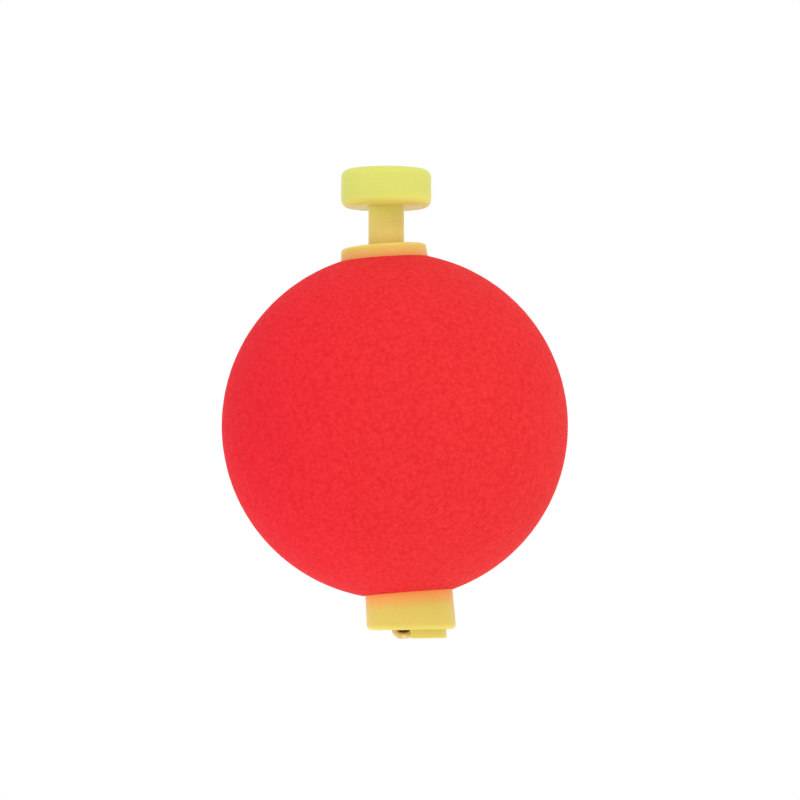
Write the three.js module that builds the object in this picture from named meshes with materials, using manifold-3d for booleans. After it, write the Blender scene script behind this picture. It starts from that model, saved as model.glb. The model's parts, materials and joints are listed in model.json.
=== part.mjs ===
// Clip-on fishing float: a foam ball on a plastic tube, with a sprung push button on top
// and a wire hook below that traps the fishing line.
//
// Millimetres, +Z up. The origin is on the axis of the tube, level with the ball's centre.
// The hook opens towards -X, and the loose button leans towards +X.
import * as THREE from "three";
import { mergeVertices } from "three/addons/utils/BufferGeometryUtils.js";
import Module from "manifold-3d";

// ---- driving dimensions ----

const INCH = 25.4;
const BALL_D = 1.5 * INCH;
const BALL_X = -0.2; // the bore runs a little beside the ball's centre

const CAP_D = 9.95; // the button's disc
const CAP_H = 4.25;
const CAP_EDGE = 0.9; // rounding of the disc's two rims
const STEM_D = 3.93;
const STEM_END_Z = 12;
const TRAVEL = 3.7; // how far the button can be pressed
const LEAN = THREE.MathUtils.degToRad(4.2); // how far the loose button leans in its collar
const LEAN_Z = 15.7; // height at which the leaning stem crosses the tube's axis

const UPPER_D = 9.65; // the upper collar, where it meets the ball
const UPPER_TOP_Z = 19.85;
const UPPER_DRAFT = 0.12; // how much its radius shrinks towards the top
const UPPER_EDGE = 0.35; // rounding of its rim
const LOWER_D = 9.6; // the lower collar, where it meets the ball
const LOWER_END_Z = -22.5;
const LOWER_FLARE = 0.09; // how much its radius grows towards the end
const LOWER_EDGE = 0.6; // rounding of its rim
const END_SLANT = THREE.MathUtils.degToRad(3.5); // how far its end is out of square
const COLLAR_SEAT = 1.8; // how far both collars reach over the tube's ends

const TUBE_OD = 6.9;
const TUBE_WALL = 0.75;
const TUBE_HALF = 18.2; // the tube runs this far either way from the ball's centre

const STEP_R = 3.8; // the half-round step on the end of the lower collar
const STEP_H = 0.95;
const STEP_FLAT_X = -0.15; // its flat side, grooved where the wire passes
const STEP_EDGE = 0.25; // rounding of its rim

const WIRE_D = 0.95; // the hook's brass wire
const HOOK_W = 1.7; // from the middle of the shank to the middle of the bill
const BEND_R = 0.62; // centreline radius of the two bends between them
const BILL_IN = 1.4; // how far the hook's point sits inside the collar

const SPRING_D = 3; // coil diameter at the middle of the wire
const SPRING_WIRE = 0.4;
const ACTIVE_TURNS = 14;
const CLOSED_TURNS = 1.25; // turns lying on each other at each end
const CLOSED_PITCH = 0.46;

const GLUE_GAP = 0.1; // between pieces that are pressed or glued together
const SLIDE_GAP = 0.15; // between pieces that slide

// ---- sizes that follow ----

const BALL_R = BALL_D / 2;
const STEM_R = STEM_D / 2;
const WIRE_R = WIRE_D / 2;
const TUBE_OR = TUBE_OD / 2;
const TUBE_IR = TUBE_OR - TUBE_WALL;
const SEAT_Z = TUBE_HALF - COLLAR_SEAT; // the shoulders in the foam that the collars press on

// The cap clears the collar at full travel, even on the side towards which it leans.
const CAP_BOTTOM_Z = UPPER_TOP_Z + TRAVEL + (CAP_D / 2) * Math.sin(LEAN) + 0.2;
const CAP_TOP_Z = CAP_BOTTOM_Z + CAP_H;
const GUIDE_R = STEM_R + (UPPER_TOP_Z - LEAN_Z + TRAVEL) * Math.tan(LEAN) + 0.06;
const STEM_BORE_R = WIRE_R + (LEAN_Z - STEM_END_Z) * Math.tan(LEAN) + SLIDE_GAP;
const ANCHOR_Z = CAP_TOP_Z - 1.2; // the wire is held in the cap up to here

const BILL_X = -HOOK_W;
const HOOK_END_Z = LOWER_END_Z - STEP_H + 0.05; // the hook stands out as far as the step
const RUN_Z = HOOK_END_Z + WIRE_R;
const BEND_Z = RUN_Z + BEND_R;
const BILL_TIP_Z = LOWER_END_Z + BILL_IN;
const POCKET_TOP_Z = BILL_TIP_Z + GLUE_GAP;
const WIRE_BORE_R = WIRE_R + SLIDE_GAP;

const SPRING_LOW_Z = -TUBE_HALF;
const SPRING_HIGH_Z = STEM_END_Z - STEM_R * Math.sin(LEAN) - GLUE_GAP;

const ROUND = 48; // facets around the turned pieces
const WIRE_SIDES = 12;
const SPRING_SIDES = 6;
const STEPS_PER_TURN = 10;

// ---- tools for making solids ----

const wasm = await Module();
wasm.setup();

function solidOf(geometry) {
  const bare = geometry.clone();
  bare.deleteAttribute("normal");
  bare.deleteAttribute("uv");
  const merged = mergeVertices(bare, 1e-4);
  const vertProperties = merged.attributes.position.array;
  const triVerts = new Uint32Array(merged.index.array);
  return new wasm.Manifold(new wasm.Mesh({ numProp: 3, vertProperties, triVerts }));
}

function geometryOf(solid) {
  const mesh = solid.getMesh();
  const geometry = new THREE.BufferGeometry();
  geometry.setAttribute("position", new THREE.BufferAttribute(mesh.vertProperties, 3));
  geometry.setIndex(new THREE.BufferAttribute(mesh.triVerts, 1));
  geometry.computeVertexNormals();
  return geometry;
}

// Points of a circular arc in the (radius, height) half-plane, angles in degrees.
function arc(r, z, radius, from, to, steps) {
  const points = [];
  for (let i = 0; i <= steps; i++) {
    const angle = THREE.MathUtils.degToRad(from + ((to - from) * i) / steps);
    points.push([r + radius * Math.cos(angle), z + radius * Math.sin(angle)]);
  }
  return points;
}

// A solid turned about Z from (radius, height) points that run upwards on the outside.
function turned(points, facets = ROUND) {
  const profile = points.map(([r, z]) => new THREE.Vector2(r, z));
  const geometry = new THREE.LatheGeometry(profile, facets);
  geometry.rotateX(Math.PI / 2);
  return geometry;
}

// The same for a ring, whose profile closes on itself.
function turnedRing(points, facets = ROUND) {
  return turned([...points, points[0]], facets);
}

// A round wire along a curve, with closed ends.
function wireAlong(curve, radius, sides, steps) {
  const section = new THREE.Shape();
  section.absarc(0, 0, radius, 0, 2 * Math.PI);
  return new THREE.ExtrudeGeometry(section, {
    extrudePath: curve,
    steps,
    curveSegments: sides / 2, // a full circle takes twice this
  });
}

// A straight round wire between two points.
function straightWire(from, to, radius, sides) {
  const along = to.clone().sub(from);
  const geometry = new THREE.CylinderGeometry(radius, radius, along.length(), sides);
  const turn = new THREE.Quaternion().setFromUnitVectors(
    new THREE.Vector3(0, 1, 0),
    along.clone().normalize(),
  );
  geometry.applyQuaternion(turn);
  const middle = from.clone().add(to).multiplyScalar(0.5);
  geometry.translate(middle.x, middle.y, middle.z);
  return geometry;
}

// ---- materials ----

function plastic(color, roughness) {
  return new THREE.MeshStandardMaterial({ color, roughness, metalness: 0 });
}

function metal(color, roughness) {
  return new THREE.MeshStandardMaterial({ color, roughness, metalness: 1 });
}

const FOAM_RED = plastic(0xf03436, 0.8);
const BUTTON_YELLOW = plastic(0xe2dc6c, 0.45);
const COLLAR_YELLOW = plastic(0xebc462, 0.45);
const TUBE_NATURAL = plastic(0xe8e4d4, 0.4);
const BRASS = metal(0xb5893f, 0.35);
const SPRING_STEEL = metal(0xb9bcc0, 0.3);

const float = new THREE.Group();

function addPiece(name, geometry, material, parent = float) {
  const mesh = new THREE.Mesh(geometry, material);
  mesh.name = name;
  parent.add(mesh);
  return mesh;
}

// ---- foam ball: bored right through, with a seat for a collar at each end ----

function foamBall() {
  const boreR = TUBE_OR + GLUE_GAP;
  const upperR = UPPER_D / 2 + GLUE_GAP;
  const lowerR = LOWER_D / 2 + GLUE_GAP;
  const latitude = (r) => THREE.MathUtils.radToDeg(Math.acos(r / BALL_R));
  const centred = turnedRing([
    [boreR, -SEAT_Z],
    [lowerR, -SEAT_Z],
    ...arc(0, 0, BALL_R, -latitude(lowerR), latitude(upperR), 24),
    [upperR, SEAT_Z],
    [boreR, SEAT_Z],
  ]);
  return shiftSkin(centred);
}

// Moves the ball's skin sideways by BALL_X, and leaves the bore and the seats where they are.
function shiftSkin(geometry) {
  const position = geometry.attributes.position;
  const point = new THREE.Vector3();
  for (let i = 0; i < position.count; i++) {
    point.fromBufferAttribute(position, i);
    if (point.length() < BALL_R - 0.01) continue;
    point.setLength(BALL_R + (BALL_X * point.x) / BALL_R);
    position.setXYZ(i, point.x, point.y, point.z);
  }
  geometry.computeVertexNormals();
  return geometry;
}

// ---- tube through the ball ----

function centerTube() {
  return turnedRing([
    [TUBE_IR, -TUBE_HALF],
    [TUBE_OR, -TUBE_HALF],
    [TUBE_OR, TUBE_HALF],
    [TUBE_IR, TUBE_HALF],
  ]);
}

// ---- upper collar: a cup over the tube's end, bored to guide the stem ----

function upperCollar() {
  const lowZ = SEAT_Z + GLUE_GAP;
  const wallZ = TUBE_HALF + GLUE_GAP;
  const topR = UPPER_D / 2 - UPPER_DRAFT;
  const chamfer = 0.2;
  return turnedRing([
    [TUBE_OR + GLUE_GAP, lowZ],
    [UPPER_D / 2, lowZ],
    [UPPER_D / 2, wallZ],
    ...arc(topR - UPPER_EDGE, UPPER_TOP_Z - UPPER_EDGE, UPPER_EDGE, 0, 90, 4),
    [GUIDE_R + chamfer, UPPER_TOP_Z],
    [GUIDE_R, UPPER_TOP_Z - chamfer],
    [GUIDE_R, wallZ],
    [TUBE_OR + GLUE_GAP, wallZ],
  ]);
}

// ---- lower collar: a cup under the tube's end, with the hook's pocket and a half-round step ----

function lowerCollar() {
  const highZ = -SEAT_Z - GLUE_GAP;
  const floorZ = -TUBE_HALF - GLUE_GAP;
  const endR = LOWER_D / 2 + LOWER_FLARE;
  const cup = turnedRing([
    [WIRE_BORE_R, LOWER_END_Z],
    ...arc(endR - LOWER_EDGE, LOWER_END_Z + LOWER_EDGE, LOWER_EDGE, -90, 0, 5),
    [LOWER_D / 2, floorZ],
    [LOWER_D / 2, highZ],
    [TUBE_OR + GLUE_GAP, highZ],
    [TUBE_OR + GLUE_GAP, floorZ],
    [WIRE_BORE_R, floorZ],
  ]);
  const square = geometryOf(solidOf(cup).add(halfRoundStep()).subtract(hookPocket()));
  return slantEnd(square);
}

// Moves the end of the collar and its step out of square: lower on the +X side.
function slantEnd(geometry) {
  const rimZ = LOWER_END_Z + LOWER_EDGE + 0.05; // the end's vertices all lie below this
  const position = geometry.attributes.position;
  for (let i = 0; i < position.count; i++) {
    if (position.getZ(i) < rimZ) {
      position.setZ(i, position.getZ(i) - position.getX(i) * Math.tan(END_SLANT));
    }
  }
  geometry.computeVertexNormals();
  return geometry;
}

// The step is the +X half of a disc, and the hook lies free beside its flat.
function halfRoundStep() {
  const sink = 0.3; // how far the step runs up into the collar, to join it
  const discR = STEP_R - STEP_EDGE;
  const corner = Math.acos((STEP_FLAT_X + STEP_EDGE) / discR);
  const outline = new THREE.Shape();
  outline.absarc(0, 0, discR, -corner, corner);
  outline.closePath();
  const step = new THREE.ExtrudeGeometry(outline, {
    depth: STEP_H + sink - 2 * STEP_EDGE,
    curveSegments: 24,
    bevelThickness: STEP_EDGE,
    bevelSize: STEP_EDGE,
    bevelSegments: 2,
  });
  step.translate(0, 0, LOWER_END_Z - STEP_H + STEP_EDGE);
  return solidOf(step);
}

// An oblong pocket that takes the hook, and grooves the step's flat.
function hookPocket() {
  const outline = new THREE.Shape();
  outline.absarc(0, 0, WIRE_BORE_R, -Math.PI / 2, Math.PI / 2);
  outline.absarc(BILL_X, 0, WIRE_BORE_R, Math.PI / 2, (3 * Math.PI) / 2);
  outline.closePath();
  const mouth = 1; // the cutter runs this far out of the collar's end
  const cutter = new THREE.ExtrudeGeometry(outline, {
    depth: POCKET_TOP_Z - LOWER_END_Z + mouth,
    curveSegments: 8,
    bevelEnabled: false,
  });
  cutter.translate(0, 0, LOWER_END_Z - mouth);
  return solidOf(cutter);
}

// ---- push button: disc cap and hollow stem in one moulding, about its own axis from LEAN_Z ----

function pushButton() {
  const topZ = CAP_TOP_Z - LEAN_Z;
  const underZ = CAP_BOTTOM_Z - LEAN_Z;
  const endZ = STEM_END_Z - LEAN_Z;
  const anchorR = WIRE_R + GLUE_GAP;
  const fillet = 0.35;
  const chamfer = 0.25;
  const rim = CAP_D / 2 - CAP_EDGE;
  return turned([
    [0, ANCHOR_Z - LEAN_Z],
    [anchorR, ANCHOR_Z - LEAN_Z],
    [anchorR, underZ],
    [STEM_BORE_R, underZ - 0.5],
    [STEM_BORE_R, endZ],
    [STEM_R - chamfer, endZ],
    [STEM_R, endZ + chamfer],
    ...arc(STEM_R + fillet, underZ - fillet, fillet, 180, 90, 4),
    ...arc(rim, underZ + CAP_EDGE, CAP_EDGE, -90, 0, 6),
    ...arc(rim, topZ - CAP_EDGE, CAP_EDGE, 0, 90, 6),
    [0, topZ],
  ]);
}

// ---- line hook: bill and two bends at the bottom, straight shank, end held in the leaning cap ----

function lineHook() {
  const bill = new THREE.Vector3(BILL_X, 0, BILL_TIP_Z);
  const billFoot = new THREE.Vector3(BILL_X, 0, BEND_Z);
  const runStart = new THREE.Vector3(BILL_X + BEND_R, 0, RUN_Z);
  const runEnd = new THREE.Vector3(-BEND_R, 0, RUN_Z);
  const shankFoot = new THREE.Vector3(0, 0, BEND_Z);
  const shankJoin = new THREE.Vector3(0, 0, BEND_Z + 1);
  const bend = new THREE.CurvePath();
  bend.add(new THREE.LineCurve3(bill, billFoot));
  bend.add(new QuarterTurn(runStart.x, BEND_Z, BEND_R, 180));
  bend.add(new THREE.LineCurve3(runStart, runEnd));
  bend.add(new QuarterTurn(runEnd.x, BEND_Z, BEND_R, 270));
  bend.add(new THREE.LineCurve3(shankFoot, shankJoin));

  const overlap = 0.5;
  const knee = new THREE.Vector3(0, 0, LEAN_Z);
  const reach = ANCHOR_Z - GLUE_GAP - LEAN_Z;
  const top = new THREE.Vector3(Math.sin(LEAN) * reach, 0, LEAN_Z + Math.cos(LEAN) * reach);
  const shankLow = shankJoin.clone().setZ(shankJoin.z - overlap);
  const pieces = [
    wireAlong(bend, WIRE_R, WIRE_SIDES, 30),
    straightWire(shankLow, knee, WIRE_R, WIRE_SIDES),
    new THREE.SphereGeometry(WIRE_R, WIRE_SIDES, 8).translate(0, 0, LEAN_Z),
    straightWire(knee, top, WIRE_R, WIRE_SIDES),
  ];
  return geometryOf(pieces.map(solidOf).reduce((whole, piece) => whole.add(piece)));
}

// A quarter of a circle in the XZ plane, anticlockwise from a start angle in degrees.
class QuarterTurn extends THREE.Curve {
  constructor(x, z, radius, start) {
    super();
    this.x = x;
    this.z = z;
    this.radius = radius;
    this.start = start;
  }

  getPoint(t, target = new THREE.Vector3()) {
    const angle = THREE.MathUtils.degToRad(this.start + 90 * t);
    return target.set(
      this.x + this.radius * Math.cos(angle),
      0,
      this.z + this.radius * Math.sin(angle),
    );
  }
}

// ---- return spring: a compression coil with closed ends ----

class Coil extends THREE.Curve {
  getPoint(t, target = new THREE.Vector3()) {
    const turns = t * (ACTIVE_TURNS + 2 * CLOSED_TURNS);
    const low = SPRING_LOW_Z + SPRING_WIRE / 2;
    const high = SPRING_HIGH_Z - SPRING_WIRE / 2;
    const closed = CLOSED_TURNS * CLOSED_PITCH;
    const opened = THREE.MathUtils.clamp(turns - CLOSED_TURNS, 0, ACTIVE_TURNS);
    const pitch = (high - low - 2 * closed) / ACTIVE_TURNS;
    const height = low + (turns - opened) * CLOSED_PITCH + opened * pitch;
    const angle = 2 * Math.PI * turns;
    const radius = SPRING_D / 2;
    return target.set(radius * Math.cos(angle), radius * Math.sin(angle), height);
  }
}

function returnSpring() {
  const steps = (ACTIVE_TURNS + 2 * CLOSED_TURNS) * STEPS_PER_TURN;
  return wireAlong(new Coil(), SPRING_WIRE / 2, SPRING_SIDES, Math.round(steps));
}

// ---- assembly ----

addPiece("foam_ball", foamBall(), FOAM_RED);
addPiece("center_tube", centerTube(), TUBE_NATURAL);
addPiece("upper_collar", upperCollar(), COLLAR_YELLOW);
addPiece("lower_collar", lowerCollar(), COLLAR_YELLOW);
addPiece("return_spring", returnSpring(), SPRING_STEEL);
addPiece("line_hook", lineHook(), BRASS);

const leaning = new THREE.Group();
leaning.position.z = LEAN_Z;
leaning.rotation.y = LEAN;
addPiece("push_button", pushButton(), BUTTON_YELLOW, leaning);
float.add(leaning);

export default float;
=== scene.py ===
"""The looks of a clip-on fishing float: a painted foam ball with yellow plastic fittings,
a push button on top and a brass line hook below. Metres, +Z up, with the origin on the tube's
axis, level with the middle of the ball."""

import json
import math

import bmesh
import bpy
import numpy as np
from mathutils import Matrix, Vector


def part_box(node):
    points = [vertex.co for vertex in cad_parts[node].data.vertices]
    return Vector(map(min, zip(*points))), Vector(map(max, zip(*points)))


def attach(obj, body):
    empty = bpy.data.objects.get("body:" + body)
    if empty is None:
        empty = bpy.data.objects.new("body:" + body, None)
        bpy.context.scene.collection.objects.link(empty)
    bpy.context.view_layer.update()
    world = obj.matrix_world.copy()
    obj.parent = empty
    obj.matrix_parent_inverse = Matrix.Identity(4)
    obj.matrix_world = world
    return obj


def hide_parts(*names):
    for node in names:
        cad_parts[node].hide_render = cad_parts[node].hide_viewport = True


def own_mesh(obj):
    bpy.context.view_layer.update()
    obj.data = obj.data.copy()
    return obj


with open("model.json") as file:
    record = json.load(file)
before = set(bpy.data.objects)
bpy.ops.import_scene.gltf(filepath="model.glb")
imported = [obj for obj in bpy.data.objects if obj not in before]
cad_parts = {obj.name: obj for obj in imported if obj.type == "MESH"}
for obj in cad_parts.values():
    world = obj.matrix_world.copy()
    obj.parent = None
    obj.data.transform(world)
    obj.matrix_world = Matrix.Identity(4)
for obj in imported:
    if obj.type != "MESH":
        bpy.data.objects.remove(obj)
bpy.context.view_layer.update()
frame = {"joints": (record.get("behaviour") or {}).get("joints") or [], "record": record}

MM = 0.001
mounts = {m["name"]: m for m in frame["record"]["mounts"]}
press = frame["joints"][0]


def lowest(node):
    """The lowest corner of a CAD node's box."""
    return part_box(node)[0]


def highest(node):
    """The highest corner of a CAD node's box."""
    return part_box(node)[1]


# ---- sizes taken from the frame ----

BALL_R = highest("foam_ball").y
BALL_X = (lowest("foam_ball").x + highest("foam_ball").x) / 2
TUBE_R = highest("center_tube").x
TUBE_HALF = highest("center_tube").z
UPPER_R = highest("upper_collar").x
UPPER_LOW_Z = lowest("upper_collar").z
UPPER_TOP_Z = highest("upper_collar").z
LOWER_R = highest("lower_collar").y
LOWER_HIGH_Z = highest("lower_collar").z
HOOK_LOW_Z = lowest("line_hook").z
SPRING_LOW_Z = -TUBE_HALF
SPRING_HIGH_Z = highest("return_spring").z
CAP_R = highest("push_button").y
TRAVEL = press["range_m"][1]

# The button leans: its axis and the middle of its top come from the button's own mount.
button_axis = Vector(mounts["button_face"]["axis"]).normalized()
button_top = Vector(mounts["button_face"]["pos_m"])
LEAN = math.atan2(button_axis.x, button_axis.z)
LEAN_Z = button_top.z - button_top.x * button_axis.z / button_axis.x  # where it crosses the tube's axis
LEAN_POINT = Vector((0, 0, LEAN_Z))
BUTTON_TOP = (button_top - LEAN_POINT).length  # along the leaning axis, from the crossing

# ---- other sizes ----

CAP_H = 4.25 * MM
CAP_EDGE = 0.9 * MM
CAP_SKIN = 1.2 * MM  # plastic over the end of the wire's hole
STEM_R = 1.965 * MM
STEM_END_Z = 12 * MM
GUIDE_GAP = 0.06 * MM
GUIDE_R = STEM_R + (UPPER_TOP_Z - LEAN_Z + TRAVEL) * math.tan(LEAN) + GUIDE_GAP
UPPER_DRAFT = 0.12 * MM
UPPER_EDGE = 0.35 * MM
LOWER_END_Z = -22.5 * MM
LOWER_FLARE = 0.09 * MM
LOWER_EDGE = 0.6 * MM
CUP_FOOT = 0.15 * MM  # chamfer on the rim of each collar's cup
END_SLANT = math.radians(3.5)
TUBE_WALL = 0.75 * MM
STEP_R = 3.8 * MM
STEP_H = 0.95 * MM
STEP_FLAT_X = -0.15 * MM
STEP_EDGE = 0.25 * MM
WIRE_R = 0.475 * MM
HOOK_W = 1.7 * MM
BEND_R = 0.62 * MM
BILL_IN = 1.4 * MM
SPRING_R = 1.5 * MM
SPRING_WIRE_R = 0.2 * MM
ACTIVE_TURNS = 14
CLOSED_TURNS = 1.25
CLOSED_PITCH = 0.46 * MM
GLUE_GAP = 0.1 * MM
SLIDE_GAP = 0.15 * MM


# ---- mesh tools ----


def arc(r, z, radius, start, end, steps):
    """Points of a circular arc in the (radius, height) half-plane, angles in degrees."""
    angles = np.radians(np.linspace(start, end, steps + 1))
    return [(r + radius * math.cos(a), z + radius * math.sin(a)) for a in angles]


def turned(profile, facets, closed=False):
    """Vertices and faces of a solid turned about Z. The profile runs up the outside, and
    starts and ends on the axis unless it is closed, as a ring's is."""
    verts, faces, rings = [], [], []
    for r, z in profile:
        if r == 0:
            rings.append([len(verts)])
            verts.append((0, 0, z))
            continue
        rings.append(list(range(len(verts), len(verts) + facets)))
        for i in range(facets):
            angle = 2 * math.pi * i / facets
            verts.append((r * math.cos(angle), r * math.sin(angle), z))
    pairs = list(zip(rings, rings[1:]))
    if closed:
        pairs.append((rings[-1], rings[0]))
    for low, high in pairs:
        for i in range(facets):
            j = (i + 1) % facets
            corners = [low[i % len(low)], low[j % len(low)], high[j % len(high)], high[i % len(high)]]
            faces.append(list(dict.fromkeys(corners)))
    return np.array(verts), faces


def swept(path, radius, sides, rounding=0.0, normal=(0, 1, 0)):
    """A round wire along a path, with the rims of its two ends rounded."""
    path = np.array(path, float)
    ahead = np.gradient(path, axis=0)
    ahead /= np.linalg.norm(ahead, axis=1)[:, None]
    side = np.array(normal, float)
    rings = []
    for point, forward in zip(path, ahead):
        side = side - forward * side.dot(forward)
        side /= np.linalg.norm(side)
        rings.append((point, forward, side.copy(), np.cross(forward, side), radius))
    if rounding:
        rings = rounded_end(rings[0], rounding, -1) + rings[1:-1] + rounded_end(rings[-1], rounding, 1)
    verts = []
    for point, _, across, over, r in rings:
        for i in range(sides):
            angle = 2 * math.pi * i / sides
            verts.append(point + r * (math.cos(angle) * across + math.sin(angle) * over))
    faces = []
    for k in range(len(rings) - 1):
        for i in range(sides):
            j = (i + 1) % sides
            faces.append([k * sides + i, k * sides + j, (k + 1) * sides + j, (k + 1) * sides + i])
    last = (len(rings) - 1) * sides
    faces.append(list(range(sides))[::-1])
    faces.append(list(range(last, last + sides)))
    return np.array(verts), faces


def rounded_end(ring, rounding, way):
    """Rings that round off a wire's end; way is -1 at its start and 1 at its end."""
    point, forward, across, over, radius = ring
    rings = []
    for angle in np.radians([90, 60, 30, 0]):
        inset = rounding * (1 - math.sin(angle))
        shrink = rounding * (1 - math.cos(angle))
        rings.append((point - way * inset * forward, forward, across, over, radius - shrink))
    return rings if way < 0 else rings[::-1]


def new_object(name, verts, faces):
    """An object in the scene with all its faces pointing out."""
    mesh = bpy.data.meshes.new(name)
    mesh.from_pydata([tuple(v) for v in verts], [], faces)
    mesh.validate()
    obj = bpy.data.objects.new(name, mesh)
    bpy.context.scene.collection.objects.link(obj)
    solid = bmesh.new()
    solid.from_mesh(mesh)
    bmesh.ops.recalc_face_normals(solid, faces=solid.faces)
    solid.to_mesh(mesh)
    solid.free()
    return obj


def smooth(obj, angle=32):
    """Smooth shading, but for edges sharper than angle in degrees."""
    obj.data.shade_smooth()
    obj.data.set_sharp_from_angle(angle=math.radians(angle))


def apply_modifiers(obj):
    """Makes the shape that the modifiers give the object's own mesh."""
    graph = bpy.context.evaluated_depsgraph_get()
    mesh = bpy.data.meshes.new_from_object(obj.evaluated_get(graph))
    obj.modifiers.clear()
    obj.data = mesh


def weld(obj, gap=0.001 * MM):
    """Joins vertices closer than gap and takes out the faces that this closes up."""
    solid = bmesh.new()
    solid.from_mesh(obj.data)
    bmesh.ops.remove_doubles(solid, verts=solid.verts, dist=gap)
    bmesh.ops.dissolve_degenerate(solid, edges=solid.edges, dist=gap)
    solid.to_mesh(obj.data)
    solid.free()


def combine(obj, other, operation):
    """Joins other to obj or cuts it out, and deletes other."""
    modifier = obj.modifiers.new(operation, "BOOLEAN")
    modifier.operation = operation
    modifier.solver = "EXACT"
    modifier.object = other
    apply_modifiers(obj)
    weld(obj)
    bpy.data.objects.remove(other)


def soften_edges(obj, width, segments=3, angle=35):
    """Rounds the edges that are sharper than angle in degrees."""
    modifier = obj.modifiers.new("edges", "BEVEL")
    modifier.width = width
    modifier.segments = segments
    modifier.limit_method = "ANGLE"
    modifier.angle_limit = math.radians(angle)
    modifier.miter_outer = "MITER_ARC"
    apply_modifiers(obj)


def finish_piece(obj, material, body, slot, *nodes):
    """Gives the piece its looks, its body and the CAD nodes that it stands for."""
    obj.data.materials.clear()
    obj.data.materials.append(material)
    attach(obj, body)
    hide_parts(*nodes)


# ---- materials ----

FOAM_CELL = 0.45 * MM
FOAM_GRAIN = 0.3 * MM
PORE_SPACING = 1.1 * MM
PLASTIC_GRAIN = 0.16 * MM
PLASTIC_ROUGHNESS = 0.38
SHADER_INPUTS = {
    "color": "Base Color",
    "roughness": "Roughness",
    "normal": "Normal",
    "metallic": "Metallic",
    "specular": "Specular IOR Level",
    "subsurface": "Subsurface Weight",
    "subsurface_radius": "Subsurface Radius",
    "subsurface_scale": "Subsurface Scale",
    "emission": "Emission Strength",
    "emission_color": "Emission Color",
}


class Nodes:
    """A material's node tree, with short ways to add and join nodes."""

    def __init__(self, name):
        self.material = bpy.data.materials.new(name)
        self.material.use_nodes = True
        self.tree = self.material.node_tree
        self.tree.nodes.clear()
        self.shader = self.add("ShaderNodeBsdfPrincipled")
        output = self.add("ShaderNodeOutputMaterial")
        self.join(self.shader.outputs["BSDF"], output.inputs["Surface"])
        self.place = self.add("ShaderNodeTexCoord").outputs["Object"]

    def add(self, kind, **values):
        node = self.tree.nodes.new(kind)
        for key, value in values.items():
            setattr(node, key, value)
        return node

    def join(self, out, into):
        self.tree.links.new(out, into)

    def along(self, axis):
        """The place along one of the object's own axes."""
        node = self.add("ShaderNodeSeparateXYZ")
        self.join(self.place, node.inputs["Vector"])
        return node.outputs[axis]

    def noise(self, size, detail=3, roughness=0.5, place=None):
        """Noise whose features are about size metres across."""
        node = self.add("ShaderNodeTexNoise")
        node.inputs["Scale"].default_value = 1 / size
        node.inputs["Detail"].default_value = detail
        node.inputs["Roughness"].default_value = roughness
        self.join(place or self.place, node.inputs["Vector"])
        return node.outputs["Fac"]

    def cells(self, size):
        """Cells about size metres across: how far from the middle of its cell a point is."""
        node = self.add("ShaderNodeTexVoronoi")
        node.inputs["Scale"].default_value = 1 / size
        self.join(self.place, node.inputs["Vector"])
        return node.outputs["Distance"]

    def ramp(self, fac, *stops):
        """Colours or grey levels at places from 0 to 1, as (place, level) pairs."""
        node = self.add("ShaderNodeValToRGB")
        node.color_ramp.elements.remove(node.color_ramp.elements[1])
        for i, (at, value) in enumerate(stops):
            element = node.color_ramp.elements[0] if i == 0 else node.color_ramp.elements.new(at)
            element.position = at
            colour = value if isinstance(value, tuple) else (value, value, value)
            element.color = (*colour, 1)
        self.join(fac, node.inputs["Fac"])
        return node.outputs["Color"]

    def mapped(self, value, low, high, to_low, to_high, smoothly=True):
        """The value, with its range from low to high brought to the range from to_low to to_high."""
        node = self.add("ShaderNodeMapRange")
        node.interpolation_type = "SMOOTHSTEP" if smoothly else "LINEAR"
        ends = {"From Min": low, "From Max": high, "To Min": to_low, "To Max": to_high}
        for key, number in ends.items():
            node.inputs[key].default_value = number
        self.join(value, node.inputs["Value"])
        return node.outputs["Result"]

    def mixed(self, fac, first, second, blend="MIX"):
        """Two colours mixed; the colour sockets of a Mix node are its inputs 6 and 7."""
        node = self.add("ShaderNodeMix", data_type="RGBA", blend_type=blend)
        for socket, value in ((node.inputs[0], fac), (node.inputs[6], first), (node.inputs[7], second)):
            if isinstance(value, tuple):
                socket.default_value = (*value, 1)
            elif isinstance(value, (int, float)):
                socket.default_value = value
            else:
                self.join(value, socket)
        return node.outputs[2]

    def bump(self, height, depth, after=None):
        """Relief depth metres high, or sunk where depth is negative."""
        node = self.add("ShaderNodeBump", invert=depth < 0)
        node.inputs["Strength"].default_value = 1
        node.inputs["Distance"].default_value = abs(depth)
        self.join(height, node.inputs["Height"])
        if after is not None:
            self.join(after, node.inputs["Normal"])
        return node.outputs["Normal"]

    def set(self, **values):
        """Sets the shader's inputs to plain values or to the outputs of other nodes."""
        for key, value in values.items():
            socket = self.shader.inputs[SHADER_INPUTS[key]]
            if isinstance(value, bpy.types.NodeSocket):
                self.join(value, socket)
            else:
                socket.default_value = value


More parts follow.
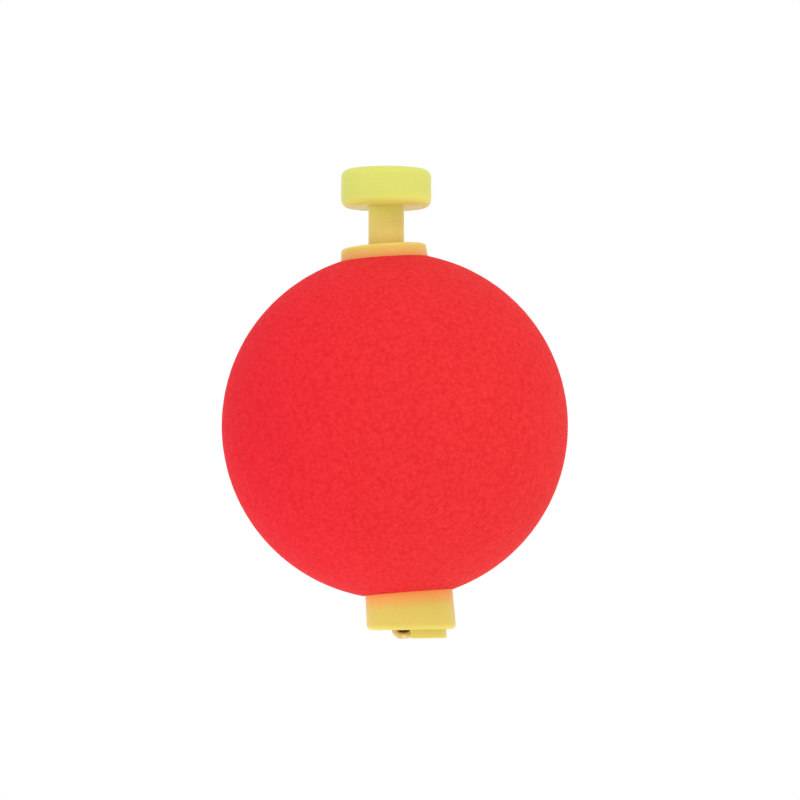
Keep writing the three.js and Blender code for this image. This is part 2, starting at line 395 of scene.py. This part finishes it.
def foam_paint():
    """Matt red paint over pebbled foam, with painted shade between its cells, along the seams of its
    beads and in its pores, and painted side light: a little more orange towards +X and deeper red
    towards -X."""
    n = Nodes("foam_paint")
    # painted shade: the darker red of the sunk cell borders, bead seams and pores
    painted_shade_red = (0.56, 0.012, 0.016)
    cells = n.cells(FOAM_CELL)
    grain = n.noise(FOAM_GRAIN, 2, 0.6)
    # painted shade: each cell darker towards its sunk border
    paint = n.ramp(cells, (0.25, (0.725, 0.0275, 0.0325)), (0.85, (0.650, 0.0180, 0.0225)))
    paint = n.mixed(1.0, paint, n.ramp(grain, (0.3, 0.96), (0.7, 1.03)), "MULTIPLY")
    # painted side light: a little more orange towards +X, where the key light falls, and deeper red
    # towards -X
    across = n.mapped(n.along("X"), -BALL_R, BALL_R, 0, 1, smoothly=False)
    painted_side_light = n.ramp(across, (0.0, (1.01, 0.71, 0.98)), (0.5, (0.98, 1.05, 0.98)), (1.0, (1.0, 1.17, 1.0)))
    paint = n.mixed(1.0, paint, painted_side_light, "MULTIPLY")
    cloud = n.ramp(n.noise(7 * MM), (0.35, 0.975), (0.65, 1.0))
    paint = n.mixed(1.0, paint, cloud, "MULTIPLY")
    seam = n.add("ShaderNodeAttribute", attribute_name="bead_seam").outputs["Fac"]
    # painted shade in the bead seams
    paint = n.mixed(n.mapped(seam, 0, 1, 0, 0.16), paint, painted_shade_red)
    pore = n.mapped(n.cells(PORE_SPACING), 0.08, 0.2, 1, 0)
    # painted shade in the pores
    n.set(color=n.mixed(n.mapped(pore, 0, 1, 0, 0.2), paint, painted_shade_red), specular=0.04)
    n.set(roughness=n.mapped(n.noise(0.9 * MM), 0.3, 0.7, 0.68, 0.8))
    skin = n.bump(cells, -0.03 * MM, n.bump(grain, 0.01 * MM))
    n.set(normal=n.bump(pore, -0.04 * MM, skin))
    return n.material


def yellow_plastic(name, *stops):
    """Satin moulded plastic, whose colour changes with height; stops are (height, colour), and some of
    them carry painted reflection and painted light.
    """
    n = Nodes(name)
    low, high = stops[0][0], stops[-1][0]
    height = n.mapped(n.along("Z"), low, high, 0, 1, smoothly=False)
    base = n.ramp(height, *(((z - low) / (high - low), colour) for z, colour in stops))
    cloud = n.ramp(n.noise(3 * MM, 2), (0.3, 0.97), (0.7, 1.0))
    grain = n.noise(PLASTIC_GRAIN, 2, 0.6)
    base = n.mixed(1.0, base, n.ramp(grain, (0.3, 0.95), (0.7, 1.01)), "MULTIPLY")
    n.set(color=n.mixed(1.0, base, cloud, "MULTIPLY"), specular=0.16)
    smoother, rougher = PLASTIC_ROUGHNESS - 0.06, PLASTIC_ROUGHNESS + 0.06
    n.set(roughness=n.mapped(n.noise(0.5 * MM), 0.3, 0.7, smoother, rougher))
    n.set(subsurface=0.15, subsurface_radius=(1.0, 0.7, 0.25), subsurface_scale=0.8 * MM)
    n.set(normal=n.bump(n.noise(1.6 * MM, 2), 0.012 * MM, n.bump(grain, 0.008 * MM)))
    return n.material


def drawn_wire(name, bright, dull, roughness, stretch=9):
    """Drawn wire with fine marks, stretch times as long as wide along Z, and duller patches."""
    n = Nodes(name)
    long_way = n.add("ShaderNodeMapping")
    long_way.inputs["Scale"].default_value = (1, 1, 1 / stretch)
    n.join(n.place, long_way.inputs["Vector"])
    marks = n.noise(0.06 * MM, 3, 0.6, long_way.outputs["Vector"])
    patches = n.noise(0.9 * MM, 3)
    n.set(color=n.ramp(patches, (0.35, dull), (0.62, bright)))
    n.set(roughness=n.mapped(patches, 0.3, 0.7, roughness + 0.12, roughness), metallic=1)
    n.set(normal=n.bump(marks, 0.006 * MM))
    return n.material


def natural_plastic():
    """The uncoloured plastic of the tube."""
    n = Nodes("natural_plastic")
    n.set(color=n.ramp(n.noise(3 * MM, 2), (0.3, (0.74, 0.71, 0.62)), (0.7, (0.82, 0.79, 0.71))))
    n.set(roughness=n.mapped(n.noise(0.6 * MM), 0.3, 0.7, 0.36, 0.46))
    n.set(normal=n.bump(n.noise(0.12 * MM, 3), 0.004 * MM))
    return n.material


# ---- foam ball ----

BEAD_D = 1.9 * MM  # the size of the foam's beads
BEAD_SHARE = 0.87  # of BEAD_D squared, the skin that one bead takes up
BEAD_SCATTER = 0.3  # of BEAD_D, how far a bead lies from its even place
BEAD_SINK = 0.4  # of SEAM_DEPTH, how far a bead's own skin is sunk at most
SEAM_DEPTH = 0.016 * MM
SEAM_WIDTH = 0.22 * MM
BALL_FACETS = 440
BALL_ROWS = 200
BORE_ROWS = 12
BALL_RIM = 0.2 * MM  # rounding where the collars' seats open
PLAIN_FROM = 0.944  # of BALL_R, the height where the seams begin to fade out
PLAIN_AT = 0.964  # of BALL_R, the height where they are gone
SEED = 7


def foam_ball():
    """The ball, with a bore for the tube and a wider seat at each end for a collar."""
    bore = TUBE_R + GLUE_GAP
    upper = UPPER_R + GLUE_GAP
    lower = LOWER_R + GLUE_GAP - LOWER_FLARE
    high_seat = UPPER_LOW_Z - GLUE_GAP
    low_seat = LOWER_HIGH_Z + GLUE_GAP
    low_rim = math.degrees(math.acos((lower + BALL_RIM) / BALL_R))
    high_rim = math.degrees(math.acos((upper + BALL_RIM) / BALL_R))
    skin = arc(0, 0, BALL_R, -low_rim, high_rim, BALL_ROWS)
    low_turn = rim_turn(lower, skin[0], -1)
    high_turn = rim_turn(upper, skin[-1], 1)
    profile = [(bore, low_seat), (lower, low_seat), *low_turn, *skin, *high_turn[::-1]]
    profile += [(upper, high_seat), (bore, high_seat)]
    profile += [(bore, high_seat + (low_seat - high_seat) * i / BORE_ROWS) for i in range(1, BORE_ROWS)]
    verts, faces = turned(profile, BALL_FACETS, closed=True)
    verts, seam = press_beads(verts)
    obj = new_object("foam_ball_shell", verts, faces)
    attribute = obj.data.attributes.new("bead_seam", "FLOAT", "POINT")
    attribute.data.foreach_set("value", seam.astype(np.float32))
    smooth(obj, 40)
    finish_piece(obj, foam_paint(), "float", "foam_red", "foam_ball")


def rim_turn(wall_r, skin_end, way):
    """Points that round the corner between a seat's wall and the ball's skin, wall first."""
    start = (wall_r, skin_end[1] - way * BALL_RIM * 0.9)
    corner = (wall_r, skin_end[1] + way * BALL_RIM * 0.15)
    points = []
    for t in (0.0, 0.25, 0.5, 0.75):
        a, b, c = (1 - t) ** 2, 2 * t * (1 - t), t * t
        points.append(tuple(a * start[k] + b * corner[k] + c * skin_end[k] for k in (0, 1)))
    return points


def press_beads(verts):
    """Sinks the seams between the foam's beads into the ball's skin, and moves the skin to its
    place beside the bore. Returns the vertices and how far each lies in a seam, from 0 to 1."""
    rng = np.random.default_rng(SEED)

    # The beads' middles: evenly round the ball on a spiral, and then scattered.
    count = int(4 * math.pi * BALL_R**2 / (BEAD_SHARE * BEAD_D**2))
    k = np.arange(count) + 0.5
    height = 1 - 2 * k / count
    around = math.pi * (1 + 5**0.5) * k
    flat = np.sqrt(1 - height**2)
    beads = np.stack([flat * np.cos(around), flat * np.sin(around), height], axis=1)
    beads += rng.normal(0, BEAD_SCATTER * BEAD_D / BALL_R, beads.shape)
    beads *= BALL_R / np.linalg.norm(beads, axis=1)[:, None]
    sinks = rng.uniform(0.2, 1.0, count)

    # A point belongs to its nearest bead. It is in a seam where the next bead is as near.
    reach = np.linalg.norm(verts, axis=1)
    skin = reach > BALL_R - 1e-7
    seam = np.zeros(len(verts))
    lift = np.zeros(len(verts))
    batches = 60
    for rows in np.array_split(np.flatnonzero(skin), batches):
        away = np.linalg.norm(verts[rows][:, None, :] - beads[None], axis=2)
        nearest = np.argpartition(away, 1, axis=1)[:, :2]
        two = np.take_along_axis(away, nearest, axis=1)
        order = np.argsort(two, axis=1)
        two = np.take_along_axis(two, order, axis=1)
        owner = np.take_along_axis(nearest, order, axis=1)[:, 0]
        seam[rows] = np.exp(-(((two[:, 1] - two[:, 0]) / (2 * SEAM_WIDTH)) ** 2))
        lift[rows] = -BEAD_SINK * SEAM_DEPTH * sinks[owner]

    # Both fade out towards the collars' seats.
    unit = verts / np.maximum(reach, 1e-9)[:, None]
    fade = (PLAIN_AT - PLAIN_FROM) * BALL_R
    edge = np.clip((BALL_R * PLAIN_AT - np.abs(verts[:, 2])) / fade, 0, 1)
    rise = (lift * (1 - seam) - SEAM_DEPTH * seam) * edge + BALL_X * unit[:, 0]
    return verts + unit * (rise * skin)[:, None], seam * skin * edge


# ---- tube ----


def center_tube():
    """The tube through the ball, chamfered at both ends."""
    chamfer = 0.12 * MM
    inner = TUBE_R - TUBE_WALL
    profile = [
        (inner + chamfer, -TUBE_HALF),
        (TUBE_R - chamfer, -TUBE_HALF),
        (TUBE_R, -TUBE_HALF + chamfer),
        (TUBE_R, TUBE_HALF - chamfer),
        (TUBE_R - chamfer, TUBE_HALF),
        (inner + chamfer, TUBE_HALF),
        (inner, TUBE_HALF - chamfer),
        (inner, -TUBE_HALF + chamfer),
    ]
    obj = new_object("center_tube_body", *turned(profile, 96, closed=True))
    smooth(obj)
    finish_piece(obj, natural_plastic(), "float", "tube_natural", "center_tube")


# ---- collars ----

FACETS = 144


def upper_collar(material):
    """A cup over the tube's upper end, with the guide hole in its bottom."""
    wall_z = TUBE_HALF + GLUE_GAP
    cup = TUBE_R + GLUE_GAP
    top_r = UPPER_R - UPPER_DRAFT
    lip = 0.22 * MM
    profile = [
        (cup, UPPER_LOW_Z),
        (UPPER_R - CUP_FOOT, UPPER_LOW_Z),
        (UPPER_R, UPPER_LOW_Z + CUP_FOOT),
        (UPPER_R, wall_z),
        *arc(top_r - UPPER_EDGE, UPPER_TOP_Z - UPPER_EDGE, UPPER_EDGE, 0, 90, 9),
        *arc(GUIDE_R + lip, UPPER_TOP_Z - lip, lip, 90, 180, 6),
        (GUIDE_R, wall_z + CUP_FOOT),
        (GUIDE_R + CUP_FOOT, wall_z),
        (cup, wall_z),
    ]
    obj = new_object("upper_collar_cup", *turned(profile, FACETS, closed=True))
    smooth(obj)
    finish_piece(obj, material, "float", "collar_yellow", "upper_collar")


def lower_collar(material):
    """A cup over the tube's lower end, with the half-round step and the hook's pocket."""
    floor_z = -TUBE_HALF - GLUE_GAP
    cup = TUBE_R + GLUE_GAP
    bore = WIRE_R + SLIDE_GAP
    root_r = LOWER_R - LOWER_FLARE
    fine_edge = 0.09 * MM
    profile = [
        (bore, LOWER_END_Z),
        *arc(LOWER_R - LOWER_EDGE, LOWER_END_Z + LOWER_EDGE, LOWER_EDGE, -90, 0, 10),
        (root_r, floor_z),
        (root_r, LOWER_HIGH_Z - CUP_FOOT),
        (root_r - CUP_FOOT, LOWER_HIGH_Z),
        (cup, LOWER_HIGH_Z),
        (cup, floor_z),
        (bore, floor_z),
    ]
    obj = new_object("lower_collar_cup", *turned(profile, FACETS, closed=True))
    combine(obj, half_round_step(), "UNION")
    combine(obj, hook_pocket(), "DIFFERENCE")
    soften_edges(obj, fine_edge)
    slant_end(obj)
    smooth(obj)
    finish_piece(obj, material, "float", "collar_yellow", "lower_collar")


def prism(name, outline, low_z, high_z):
    """An upright solid between two heights; its outline is a list of (x, y) points."""
    count = len(outline)
    verts = [(x, y, z) for z in (low_z, high_z) for x, y in outline]
    faces = [list(range(count))[::-1], list(range(count, 2 * count))]
    for i in range(count):
        j = (i + 1) % count
        faces.append([i, j, count + j, count + i])
    return new_object(name, verts, faces)


def half_round_step():
    """The step on the collar's end, sunk a little way into it so that the two join."""
    sink = 0.3 * MM
    corner = math.degrees(math.acos(STEP_FLAT_X / STEP_R))
    outline = arc(0, 0, STEP_R, -corner, corner, 96)
    step = prism("step", outline, LOWER_END_Z - STEP_H, LOWER_END_Z + sink)
    soften_edges(step, STEP_EDGE, 5)
    return step


def hook_pocket():
    """The oblong pocket that the hook rests in, a little wider than the bore above it."""
    half = WIRE_R + SLIDE_GAP + 0.02 * MM
    below = 3 * MM  # how far the cut reaches out past the step
    outline = arc(0, 0, half, -90, 90, 20) + arc(-HOOK_W, 0, half, 90, 270, 20)
    return prism("pocket", outline, LOWER_END_Z - below, LOWER_END_Z + BILL_IN + GLUE_GAP)


def slant_end(obj):
    """Moves the collar's end out of square, lower on the +X side."""
    rim_z = LOWER_END_Z + LOWER_EDGE + 0.05 * MM
    for vertex in obj.data.vertices:
        if vertex.co.z < rim_z:
            vertex.co.z -= vertex.co.x * math.tan(END_SLANT)


# ---- push button ----


def push_button(material):
    """The cap and its hollow stem, turned upright about the leaning axis and then leant over."""
    top = BUTTON_TOP
    under = top - CAP_H
    end = STEM_END_Z - LEAN_Z
    core = WIRE_R + (LEAN_Z - STEM_END_Z) * math.tan(LEAN) + SLIDE_GAP
    wire_hole = WIRE_R + GLUE_GAP
    taper = 0.5 * MM  # between the stem's hollow and the wire's hole
    hole_top = top - CAP_SKIN
    root = 0.35 * MM
    chamfer = 0.25 * MM
    rim = CAP_R - CAP_EDGE
    dish = 0.05 * MM  # the depth of the shallow dish in the top
    gate_r, gate_h = 0.45 * MM, 0.07 * MM  # the mark of the moulding gate
    profile = [
        (0, hole_top),
        (wire_hole, hole_top),
        (wire_hole, under),
        (core, under - taper),
        (core, end),
        *arc(STEM_R - chamfer, end + chamfer, chamfer, -90, 0, 4),
        *arc(STEM_R + root, under - root, root, 180, 90, 8),
        *arc(rim, under + CAP_EDGE, CAP_EDGE, -90, 0, 10),
        *arc(rim, top - CAP_EDGE, CAP_EDGE, 0, 90, 10),
    ]
    for share in (0.93, 0.8, 0.6, 0.4, 0.2):
        profile.append((rim * share, top - dish * math.cos(share * math.pi / 2) ** 2))
    profile += [
        (gate_r + 0.05 * MM, top - dish),
        (gate_r, top - dish + gate_h),
        (0, top - dish + gate_h),
    ]
    obj = new_object("push_button_moulding", *turned(profile, FACETS))
    obj.data.transform(Matrix.Translation(LEAN_POINT) @ Matrix.Rotation(LEAN, 4, "Y"))
    smooth(obj)
    finish_piece(obj, material, "plunger", "button_yellow", "push_button")


# ---- line hook ----


def line_hook():
    """The wire: from its point in the pocket down and round the bend, then up the tube and
    along the leaning stem."""
    bend_z = HOOK_LOW_Z + WIRE_R + BEND_R
    tip_z = LOWER_END_Z + BILL_IN
    knee = 2.5 * MM  # how far either side of the lean's start the wire bends
    knee_r = knee / math.tan(LEAN / 2)
    path = [(-HOOK_W, 0, tip_z + (bend_z - tip_z) * i / 6) for i in range(6)]
    path += [(x, 0, z) for x, z in arc(BEND_R - HOOK_W, bend_z, BEND_R, 180, 270, 16)]
    path += [(x, 0, z) for x, z in arc(-BEND_R, bend_z, BEND_R, 270, 360, 16)]
    path += [(0, 0, z) for z in np.linspace(bend_z + 0.5 * MM, LEAN_Z - knee, 40)]
    for angle in np.linspace(0, LEAN, 9)[1:]:
        path.append((knee_r * (1 - math.cos(angle)), 0, LEAN_Z - knee + knee_r * math.sin(angle)))
    lean_way = Vector((math.sin(LEAN), 0, math.cos(LEAN)))
    for along in np.linspace(knee, BUTTON_TOP - CAP_SKIN - GLUE_GAP, 8)[1:]:
        path.append(tuple(LEAN_POINT + lean_way * along))
    end_rounding = 0.12 * MM
    obj = new_object("line_hook_wire", *swept(path, WIRE_R, 28, end_rounding))
    smooth(obj)
    brass = drawn_wire("brass_wire", (0.68, 0.475, 0.18), (0.46, 0.30, 0.10), 0.34)
    finish_piece(obj, brass, "plunger", "hook_brass", "line_hook")


# ---- return spring ----


def return_spring():
    """A coil spring with closed ends. The real one shortens as the button is pressed; this one is drawn
    at one length.
    """
    turns = ACTIVE_TURNS + 2 * CLOSED_TURNS
    low = SPRING_LOW_Z + SPRING_WIRE_R
    high = SPRING_HIGH_Z - SPRING_WIRE_R
    pitch = (high - low - 2 * CLOSED_TURNS * CLOSED_PITCH) / ACTIVE_TURNS
    path = []
    for turn in np.linspace(0, turns, int(turns * 40) + 1):
        opened = min(max(turn - CLOSED_TURNS, 0), ACTIVE_TURNS)
        height = low + (turn - opened) * CLOSED_PITCH + opened * pitch
        angle = 2 * math.pi * turn
        path.append((SPRING_R * math.cos(angle), SPRING_R * math.sin(angle), height))
    end_rounding = 0.05 * MM
    obj = new_object("return_spring_coil", *swept(path, SPRING_WIRE_R, 12, end_rounding, (0, 0, 1)))
    smooth(obj)
    steel = drawn_wire("spring_wire", (0.62, 0.63, 0.65), (0.42, 0.43, 0.45), 0.25, 1)
    finish_piece(obj, steel, "float", "spring_steel", "return_spring")
    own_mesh(obj)


# ---- stage: floor, light and camera ----

FLOOR_Z = -600 * MM  # low, so that the float can be seen from below too
FLOOR_HALF = 3.0
FLOOR_GLOW = 0.44
CAMERA_AWAY = 500 * MM
CAMERA_BELOW = math.radians(2.75)  # how far the camera is below level with the ball
CAMERA_ROLL = math.radians(4.2)
CAMERA_LENS = 204.4  # on a sensor 36 mm wide
AIM_RIGHT = 0.37 * MM
AIM_UP = 2.84 * MM


def make_floor():
    """A plain white floor, which lights the float from below."""
    rows = 8
    steps = np.linspace(-FLOOR_HALF, FLOOR_HALF, rows + 1)
    verts = [(x, y, FLOOR_Z) for y in steps for x in steps]
    faces = []
    for j in range(rows):
        for i in range(rows):
            corner = j * (rows + 1) + i
            faces.append([corner, corner + 1, corner + rows + 2, corner + rows + 1])
    obj = new_object("floor", verts, faces)
    n = Nodes("floor_white")
    n.set(color=n.ramp(n.noise(0.4, 2), (0.3, 0.89), (0.7, 0.91)), roughness=0.9, specular=0)
    n.set(emission_color=(1, 1, 1, 1), emission=FLOOR_GLOW)
    obj.data.materials.append(n.material)


def make_light():
    """An even white surround, with a soft key light from the upper right and a fill."""
    world = bpy.data.worlds.new("studio")
    world.use_nodes = True
    background = world.node_tree.nodes["Background"]
    background.inputs["Color"].default_value = (1, 1, 1, 1)
    background.inputs["Strength"].default_value = 1.0
    bpy.context.scene.world = world
    area_light("key", (0.35, -0.46, 0.62), 0.45, 2.0)
    area_light("fill", (-0.55, -0.35, 0.15), 0.4, 0.5)


def area_light(name, place, size, power):
    """A round soft light, aimed at the origin, with its size in metres and power in watts."""
    data = bpy.data.lights.new(name, "AREA")
    data.shape = "DISK"
    data.size = size
    data.energy = power
    obj = bpy.data.objects.new(name, data)
    obj.location = place
    obj.rotation_euler = (-Vector(place)).to_track_quat("-Z", "Y").to_euler()
    bpy.context.scene.collection.objects.link(obj)


def make_camera():
    """A camera at the front, rolled so that the button's axis stands upright in its picture."""
    picture_up = Vector((math.sin(CAMERA_ROLL), 0, math.cos(CAMERA_ROLL)))
    level = Vector((0, 1, 0))
    towards = level * math.cos(CAMERA_BELOW) + picture_up * math.sin(CAMERA_BELOW)
    right = towards.cross(picture_up).normalized()
    place = -towards * CAMERA_AWAY
    target = right * AIM_RIGHT + right.cross(towards) * AIM_UP
    ahead = (target - place).normalized()
    right = ahead.cross(picture_up).normalized()
    up = right.cross(ahead)
    data = bpy.data.cameras.new("camera")
    data.lens = CAMERA_LENS
    data.sensor_width = 36
    data.clip_start = 0.01
    data.clip_end = 20
    obj = bpy.data.objects.new("camera", data)
    turn = Matrix((right, up, -ahead)).transposed()
    obj.matrix_world = Matrix.Translation(place) @ turn.to_4x4()
    bpy.context.scene.collection.objects.link(obj)
    bpy.context.scene.camera = obj


def set_view_transform():
    """Plain colours, with no film look."""
    settings = bpy.context.scene.view_settings
    settings.view_transform = "Standard"
    settings.look = "None"
    settings.exposure = 0
    settings.gamma = 1


# ---- build ----

make_camera()
set_view_transform()
make_light()
make_floor()

COLLAR_YELLOW = (0.685, 0.55, 0.113)
# painted reflection: the collars' orange next to the ball is the red ball's light painted onto the
# yellow; the lower one is lighter, to make up for the key light reaching it less
UPPER_PAINTED_RED_REFLECTION = (0.755, 0.325, 0.098)
LOWER_PAINTED_RED_REFLECTION = (0.92, 0.295, 0.082)
STEM_YELLOW = (0.80, 0.545, 0.16)
STEM_TOP_YELLOW = (0.71, 0.575, 0.15)
# painted light: the foot of the cap, lighter and more orange than its top, with light and the red
# ball's reflection on its underside painted in
CAP_FOOT_PAINTED_LIGHT = (0.70, 0.66, 0.133)
CAP_YELLOW = (0.60, 0.612, 0.131)

cap_low_z = button_top.z - CAP_H
# the upper collar: painted red reflection low down, next to the ball
upper_plastic = yellow_plastic(
    "upper_plastic",
    (UPPER_TOP_Z - 1.5 * MM, UPPER_PAINTED_RED_REFLECTION),
    (UPPER_TOP_Z, COLLAR_YELLOW),
)
# the lower collar: painted red reflection at its top, next to the ball
lower_plastic = yellow_plastic(
    "lower_plastic",
    (-TUBE_HALF - 2 * MM, COLLAR_YELLOW),
    (-TUBE_HALF, LOWER_PAINTED_RED_REFLECTION),
)
button_plastic = yellow_plastic(
    "button_plastic",
    (UPPER_TOP_Z, STEM_YELLOW),
    (cap_low_z - 1.5 * MM, STEM_TOP_YELLOW),
    # painted light and red reflection on the cap's foot and underside
    (cap_low_z + 0.2 * MM, CAP_FOOT_PAINTED_LIGHT),
    (cap_low_z + 1.3 * MM, CAP_YELLOW),
)

foam_ball()
center_tube()
upper_collar(upper_plastic)
lower_collar(lower_plastic)
push_button(button_plastic)
line_hook()
return_spring()
